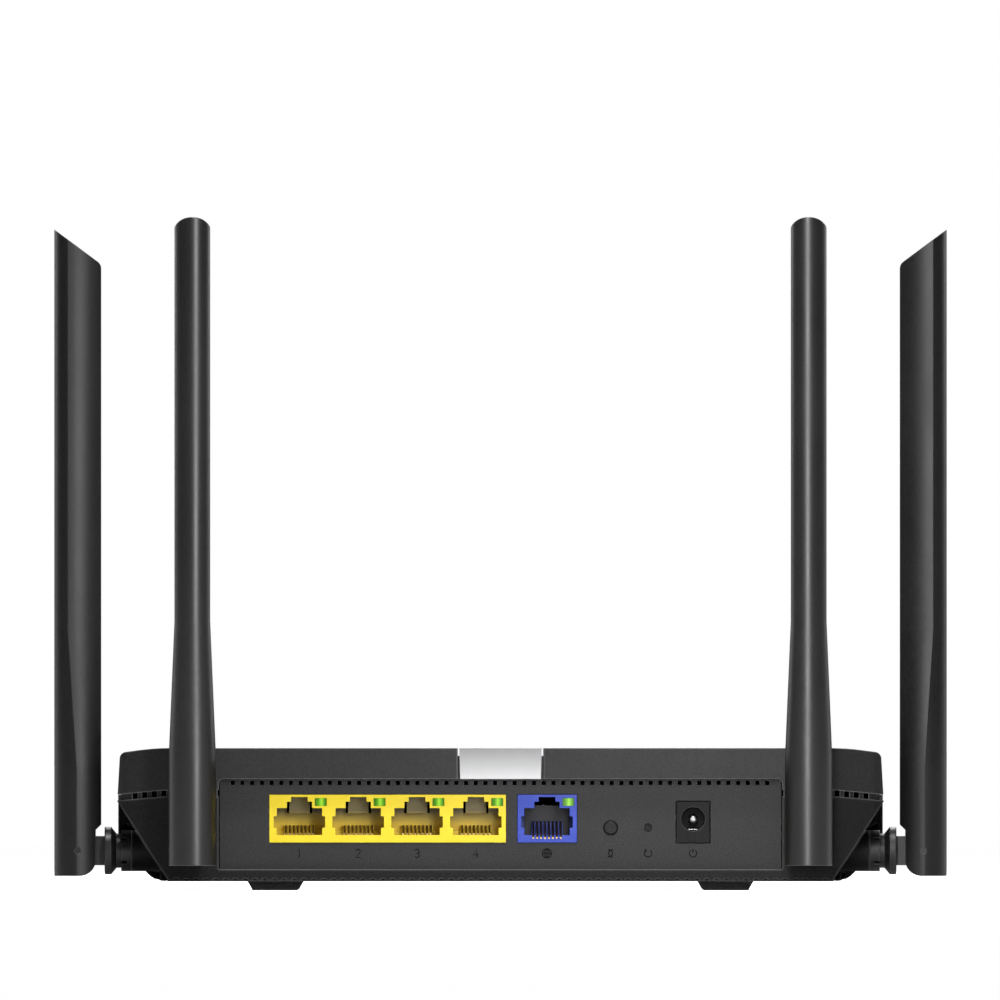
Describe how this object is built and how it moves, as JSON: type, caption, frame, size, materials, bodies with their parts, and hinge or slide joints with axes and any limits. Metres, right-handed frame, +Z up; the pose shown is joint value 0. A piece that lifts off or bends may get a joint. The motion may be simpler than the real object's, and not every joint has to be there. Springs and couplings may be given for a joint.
{
  "type": "wireless router",
  "caption": "Desktop wireless router: low black housing with a recessed port panel, silver centre strip and folding antennas on two-axis hinges.",
  "frame": {"origin": "centre of the overall box at the underside of the feet, antennas upright", "axes": "+Z up, -Y is the port side, +X is to the right when looking at the ports"},
  "size_m": [0.2324, 0.153, 0.1748],
  "materials": {
    "housing_black": "fine-grained matte",
    "panel_black": "fine-grained matte",
    "antenna_black": "fine-grained satin",
    "hinge_black": "smooth satin",
    "hinge_pin_dark": "blackened",
    "silver_trim": "satin silver",
    "foot_rubber": "matt",
    "screw_steel": "satin",
    "board_green": "solder mask",
    "jack_yellow": "semi-gloss",
    "jack_blue": "semi-gloss",
    "liner_dark": "matt",
    "contact_gold": "bright",
    "lamp_green": "clear tinted",
    "power_jack_black": "semi-gloss",
    "pin_chrome": "polished",
    "button_black": "satin",
    "switch_black": "satin",
    "chip_black": "matt epoxy",
    "sink_aluminium": "brushed",
    "shield_steel": "tinned",
    "cable_grey": "satin"
  },
  "bodies": {
    "housing": {"bottom_shell": "housing_black", "top_cover": "housing_black", "centre_trim": "silver_trim", "port_panel": "panel_black", "vent_band": "housing_black", "feet": "foot_rubber", "case_screws": "screw_steel", "board_screws": "screw_steel", "main_board": "board_green", "lan_jack_block": "jack_yellow", "lan_jack_contacts": "contact_gold", "wan_jack_block": "jack_blue", "wan_jack_liner": "liner_dark", "wan_jack_contacts": "contact_gold", "port_lamps": "lamp_green", "power_jack": "power_jack_black", "power_jack_pin": "pin_chrome", "power_jack_spring": "pin_chrome", "wps_switch": "switch_black", "reset_switch": "switch_black", "main_chip": "chip_black", "heat_sink": "sink_aluminium", "memory_chip": "chip_black", "switch_chip": "chip_black", "line_transformers": "chip_black", "capacitors": "sink_aluminium", "radio_shields": "shield_steel", "coax_leads": "cable_grey", "coax_sockets": "contact_gold", "rear_left_bushing": "hinge_black", "rear_right_bushing": "hinge_black", "side_left_bushing": "hinge_black", "side_right_bushing": "hinge_black"},
    "wps_button": {"wps_button": "button_black"},
    "reset_plunger": {"reset_plunger": "button_black"},
    "rear_left_swivel": {"rear_left_swivel": "hinge_black", "rear_left_swivel_clip": "hinge_black"},
    "rear_left_antenna": {"rear_left_antenna_shell": "antenna_black", "rear_left_radiator": "board_green", "rear_left_feed_cable": "cable_grey", "rear_left_hinge_pin": "hinge_pin_dark"},
    "rear_right_swivel": {"rear_right_swivel": "hinge_black", "rear_right_swivel_clip": "hinge_black"},
    "rear_right_antenna": {"rear_right_antenna_shell": "antenna_black", "rear_right_radiator": "board_green", "rear_right_feed_cable": "cable_grey", "rear_right_hinge_pin": "hinge_pin_dark"},
    "side_left_swivel": {"side_left_swivel": "hinge_black", "side_left_swivel_clip": "hinge_black"},
    "side_left_antenna": {"side_left_antenna_shell": "antenna_black", "side_left_radiator": "board_green", "side_left_feed_cable": "cable_grey", "side_left_hinge_pin": "hinge_pin_dark"},
    "side_right_swivel": {"side_right_swivel": "hinge_black", "side_right_swivel_clip": "hinge_black"},
    "side_right_antenna": {"side_right_antenna_shell": "antenna_black", "side_right_radiator": "board_green", "side_right_feed_cable": "cable_grey", "side_right_hinge_pin": "hinge_pin_dark"}
  },
  "joints": [
    {"name": "wps_button_press", "type": "slide", "parent": "housing", "child": "wps_button", "axis": [0, 1, 0], "range_m": [0, 0.0004], "stiffness_N_per_m": 400, "springref_m": -0.0005},
    {"name": "reset_plunger_press", "type": "slide", "parent": "housing", "child": "reset_plunger", "axis": [0, 1, 0], "range_m": [0, 0.0003], "stiffness_N_per_m": 400, "springref_m": -0.0005},
    {"name": "rear_left_swivel_turn", "type": "hinge", "parent": "housing", "child": "rear_left_swivel", "pos_m": [-0.08, -0.07037, 0.01305], "axis": [0, 1, 0], "range_deg": [-90, 60]},
    {"name": "rear_left_tilt", "type": "hinge", "parent": "rear_left_swivel", "child": "rear_left_antenna", "pos_m": [-0.08, -0.07037, 0.01305], "axis": [1, 0, 0], "range_deg": [0, 90]},
    {"name": "rear_right_swivel_turn", "type": "hinge", "parent": "housing", "child": "rear_right_swivel", "pos_m": [0.08, -0.07037, 0.01305], "axis": [0, 1, 0], "range_deg": [-60, 90]},
    {"name": "rear_right_tilt", "type": "hinge", "parent": "rear_right_swivel", "child": "rear_right_antenna", "pos_m": [0.08, -0.07037, 0.01305], "axis": [1, 0, 0], "range_deg": [0, 90]},
    {"name": "side_left_swivel_turn", "type": "hinge", "parent": "housing", "child": "side_left_swivel", "pos_m": [-0.11005, -0.03847, 0.0103], "axis": [1, 0, 0], "range_deg": [-90, 90]},
    {"name": "side_left_tilt", "type": "hinge", "parent": "side_left_swivel", "child": "side_left_antenna", "pos_m": [-0.11005, -0.03847, 0.0103], "axis": [0, -1, 0], "range_deg": [0, 90]},
    {"name": "side_right_swivel_turn", "type": "hinge", "parent": "housing", "child": "side_right_swivel", "pos_m": [0.11005, -0.03847, 0.0103], "axis": [1, 0, 0], "range_deg": [-90, 90]},
    {"name": "side_right_tilt", "type": "hinge", "parent": "side_right_swivel", "child": "side_right_antenna", "pos_m": [0.11005, -0.03847, 0.0103], "axis": [0, 1, 0], "range_deg": [0, 90]}
  ]
}
